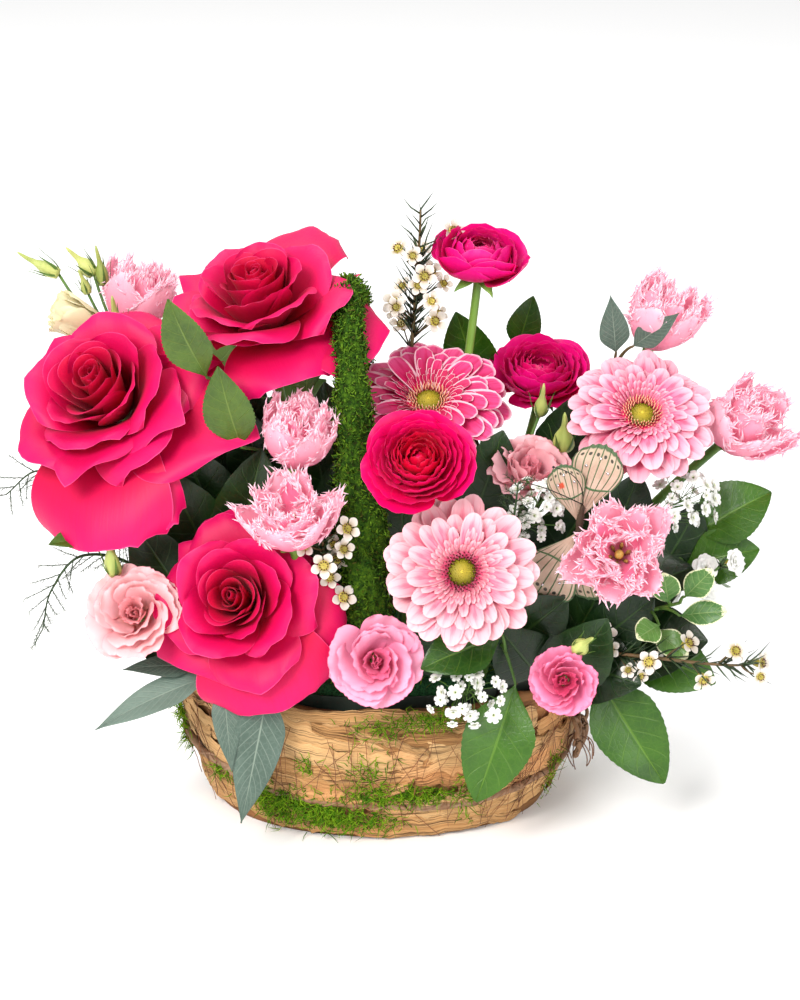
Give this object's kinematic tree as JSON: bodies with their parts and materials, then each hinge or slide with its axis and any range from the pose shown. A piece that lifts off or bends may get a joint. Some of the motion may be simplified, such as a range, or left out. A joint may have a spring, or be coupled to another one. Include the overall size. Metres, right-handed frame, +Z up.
{
  "type": "flower basket arrangement",
  "caption": "Mixed cut flowers and foliage standing in foam inside a low oval bark basket with a moss-covered handle.",
  "frame": {"origin": "middle of the basket's flat underside", "axes": "+X to the right along the long side of the basket, +Y away from the front, +Z up"},
  "size_m": [0.4113, 0.2223, 0.3104],
  "materials": {
    "bark": "matte",
    "vine": "matte",
    "moss": "matte",
    "liner": "matte",
    "foam": "matte",
    "rose_petal": "satin",
    "gerbera_petal": "satin",
    "ranunculus_petal": "satin",
    "tulip_petal": "satin",
    "lisianthus_petal": "satin",
    "green_stem": "satin",
    "white_filler": "matte",
    "salal_leaf": "satin",
    "eucalyptus_leaf": "matte",
    "pittosporum_leaf": "satin",
    "fern_needle": "matte",
    "butterfly_wing": "matte"
  },
  "bodies": {
    "root": {"asparagus_fern_centre": "fern_needle", "asparagus_fern_left": "fern_needle", "basket_bark_wall": "bark", "basket_liner": "liner", "basket_vine_hoop": "vine", "butterfly_pick": "butterfly_wing", "eucalyptus_left": "eucalyptus_leaf", "eucalyptus_right": "eucalyptus_leaf", "floral_foam": "foam", "gerbera_back_rays": "gerbera_petal", "gerbera_back_stem": "green_stem", "gerbera_front_rays": "gerbera_petal", "gerbera_front_stem": "green_stem", "gerbera_right_rays": "gerbera_petal", "gerbera_right_stem": "green_stem", "gypsophila_spray": "white_filler", "handle_moss_arch": "moss", "lisianthus_centre_petals": "lisianthus_petal", "lisianthus_centre_stem": "green_stem", "lisianthus_cream_petals": "lisianthus_petal", "lisianthus_cream_stem": "green_stem", "lisianthus_front_petals": "lisianthus_petal", "lisianthus_front_right_petals": "lisianthus_petal", "lisianthus_front_right_stem": "green_stem", "lisianthus_front_stem": "green_stem", "lisianthus_left_petals": "lisianthus_petal", "lisianthus_left_stem": "green_stem", "pittosporum_right": "pittosporum_leaf", "ranunculus_centre_petals": "ranunculus_petal", "ranunculus_centre_stem": "green_stem", "ranunculus_right_petals": "ranunculus_petal", "ranunculus_right_stem": "green_stem", "ranunculus_top_petals": "ranunculus_petal", "ranunculus_top_stem": "green_stem", "rose_front_petals": "rose_petal", "rose_front_stem": "green_stem", "rose_left_petals": "rose_petal", "rose_left_stem": "green_stem", "rose_top_petals": "rose_petal", "rose_top_stem": "green_stem", "salal_back_left": "salal_leaf", "salal_back_right": "salal_leaf", "salal_front": "salal_leaf", "salal_right": "salal_leaf", "tulip_back_left_petals": "tulip_petal", "tulip_back_left_stem": "green_stem", "tulip_back_right_petals": "tulip_petal", "tulip_back_right_stem": "green_stem", "tulip_front_right_petals": "tulip_petal", "tulip_front_right_stem": "green_stem", "tulip_left_lower_petals": "tulip_petal", "tulip_left_lower_stem": "green_stem", "tulip_left_upper_petals": "tulip_petal", "tulip_left_upper_stem": "green_stem", "tulip_right_petals": "tulip_petal", "tulip_right_stem": "green_stem", "waxflower_back": "white_filler", "waxflower_left": "white_filler", "waxflower_right": "white_filler", "white_stock_right": "white_filler"}
  },
  "joints": []
}
